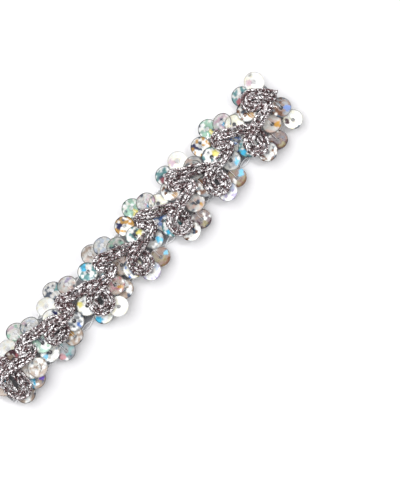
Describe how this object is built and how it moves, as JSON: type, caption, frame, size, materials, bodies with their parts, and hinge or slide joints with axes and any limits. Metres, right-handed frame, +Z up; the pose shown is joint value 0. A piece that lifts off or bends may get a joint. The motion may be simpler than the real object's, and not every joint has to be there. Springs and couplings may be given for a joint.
{
  "type": "sequin trim",
  "caption": "Cut length of sheer trim tape with a metallic braid looped along it and clear shimmering cup sequins fanned under its loops.",
  "frame": {"origin": "middle of the tape's flat underside, on the surface that the trim lies on", "axes": "+X along the trim, +Y across it, +Z up through the sequins and the braid"},
  "size_m": [0.1002, 0.019, 0.0056],
  "materials": {
    "tape": "sheer grey-white nylon",
    "braid": "metallic gunmetal yarn",
    "sequin_clear": "clear film with a rainbow shimmer",
    "sequin_cream": "clear film that shimmers cream",
    "sequin_tan": "clear film that shimmers tan",
    "sequin_teal": "clear film that shimmers teal",
    "sequin_plum": "clear film that shimmers plum",
    "sequin_pink": "clear film that shimmers pink"
  },
  "bodies": {
    "root": {"tape": "tape", "braid": "braid", "sequin_01": "sequin_tan", "sequin_02": "sequin_clear", "sequin_03": "sequin_cream", "sequin_04": "sequin_clear", "sequin_05": "sequin_plum", "sequin_06": "sequin_clear", "sequin_07": "sequin_cream", "sequin_08": "sequin_pink", "sequin_09": "sequin_cream", "sequin_10": "sequin_tan", "sequin_11": "sequin_clear", "sequin_12": "sequin_clear", "sequin_13": "sequin_teal", "sequin_14": "sequin_clear", "sequin_15": "sequin_tan", "sequin_16": "sequin_teal", "sequin_17": "sequin_tan", "sequin_18": "sequin_teal", "sequin_19": "sequin_tan", "sequin_20": "sequin_clear", "sequin_21": "sequin_clear", "sequin_22": "sequin_clear", "sequin_23": "sequin_tan", "sequin_24": "sequin_cream", "sequin_25": "sequin_cream", "sequin_26": "sequin_tan", "sequin_27": "sequin_cream", "sequin_28": "sequin_tan", "sequin_29": "sequin_cream", "sequin_30": "sequin_clear", "sequin_31": "sequin_pink", "sequin_32": "sequin_teal", "sequin_33": "sequin_cream", "sequin_34": "sequin_teal", "sequin_35": "sequin_cream", "sequin_36": "sequin_plum", "sequin_37": "sequin_clear", "sequin_38": "sequin_tan", "sequin_39": "sequin_pink", "sequin_40": "sequin_plum", "sequin_41": "sequin_cream", "sequin_42": "sequin_tan", "sequin_43": "sequin_teal", "sequin_44": "sequin_tan", "sequin_45": "sequin_clear", "sequin_46": "sequin_pink", "sequin_47": "sequin_teal", "sequin_48": "sequin_cream", "sequin_49": "sequin_teal", "sequin_50": "sequin_cream", "sequin_51": "sequin_plum", "sequin_52": "sequin_tan", "sequin_53": "sequin_pink", "sequin_54": "sequin_plum", "sequin_55": "sequin_cream", "sequin_56": "sequin_tan", "sequin_57": "sequin_teal", "sequin_58": "sequin_tan"}
  },
  "joints": []
}
